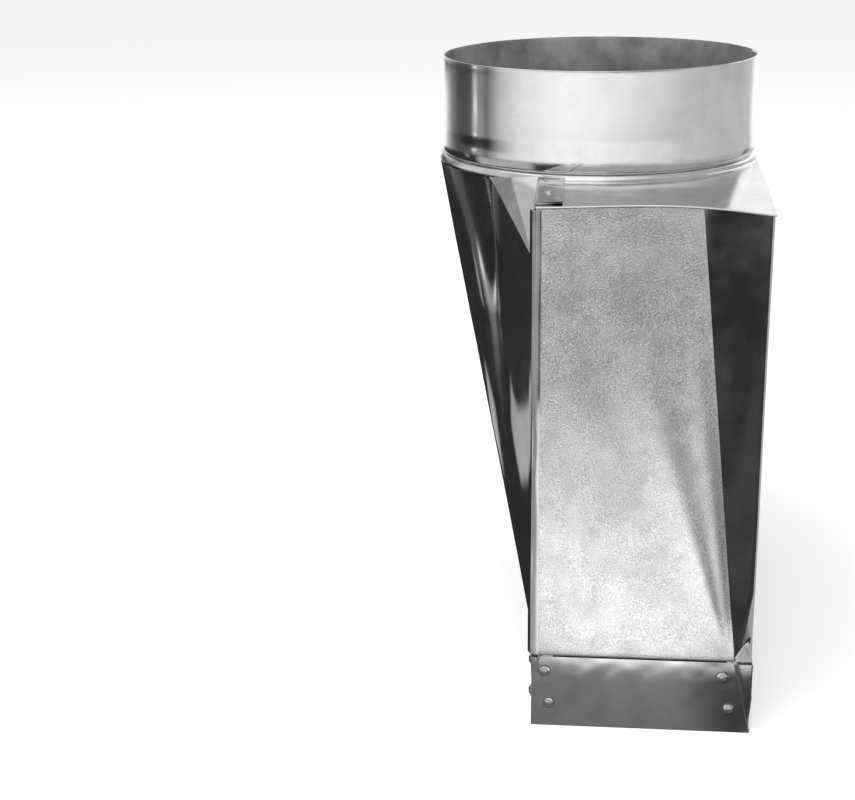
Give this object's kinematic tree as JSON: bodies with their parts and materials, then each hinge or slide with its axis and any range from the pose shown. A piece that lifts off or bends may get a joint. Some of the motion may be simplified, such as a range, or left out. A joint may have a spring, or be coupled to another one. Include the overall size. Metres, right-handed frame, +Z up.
{
  "type": "offset duct transition",
  "caption": "Galvanised sheet-metal offset transition from a round collar to a rectangular spigot, flush on one side and sloping on the other.",
  "frame": {"origin": "on the axis of the round collar, in the plane of the open rectangular end, which is the centre of the bottom of the bounding box", "axes": "+Z up the round collar's axis towards the round end, +X towards the flush side, -Y towards the front broad panel"},
  "size_m": [0.1532, 0.253, 0.292],
  "materials": {
    "galvanised_bright": "bright galvanised sheet, glossy with faint spangle",
    "galvanised_matt": "galvanised sheet with a finer, duller grain",
    "rivet_steel": "plain bright blind rivets"
  },
  "bodies": {
    "root": {"round_collar": "galvanised_bright", "neck_ring": "galvanised_bright", "top_plate_front": "galvanised_bright", "top_plate_back": "galvanised_bright", "flush_side_panel": "galvanised_bright", "taper_wrap": "galvanised_bright", "front_corner_lock": "galvanised_bright", "back_corner_lock": "galvanised_bright", "spigot_front": "galvanised_bright", "spigot_back": "galvanised_bright", "spigot_flush_side": "galvanised_bright", "spigot_taper_side": "galvanised_bright", "corner_angle_front_flush": "galvanised_bright", "corner_angle_front_taper": "galvanised_bright", "corner_angle_back_flush": "galvanised_bright", "corner_angle_back_taper": "galvanised_bright", "front_panel": "galvanised_matt", "back_panel": "galvanised_matt", "rivet_spigot_front_1": "rivet_steel", "rivet_spigot_front_2": "rivet_steel", "rivet_spigot_front_3": "rivet_steel", "rivet_spigot_front_4": "rivet_steel", "rivet_spigot_back_1": "rivet_steel", "rivet_spigot_back_2": "rivet_steel", "rivet_spigot_back_3": "rivet_steel", "rivet_spigot_back_4": "rivet_steel", "rivet_spigot_flush_side_1": "rivet_steel", "rivet_spigot_flush_side_2": "rivet_steel", "rivet_spigot_flush_side_3": "rivet_steel", "rivet_spigot_flush_side_4": "rivet_steel", "rivet_spigot_taper_side_1": "rivet_steel", "rivet_spigot_taper_side_2": "rivet_steel", "rivet_spigot_taper_side_3": "rivet_steel", "rivet_spigot_taper_side_4": "rivet_steel", "rivet_tab_1": "rivet_steel", "rivet_tab_2": "rivet_steel"}
  },
  "joints": []
}
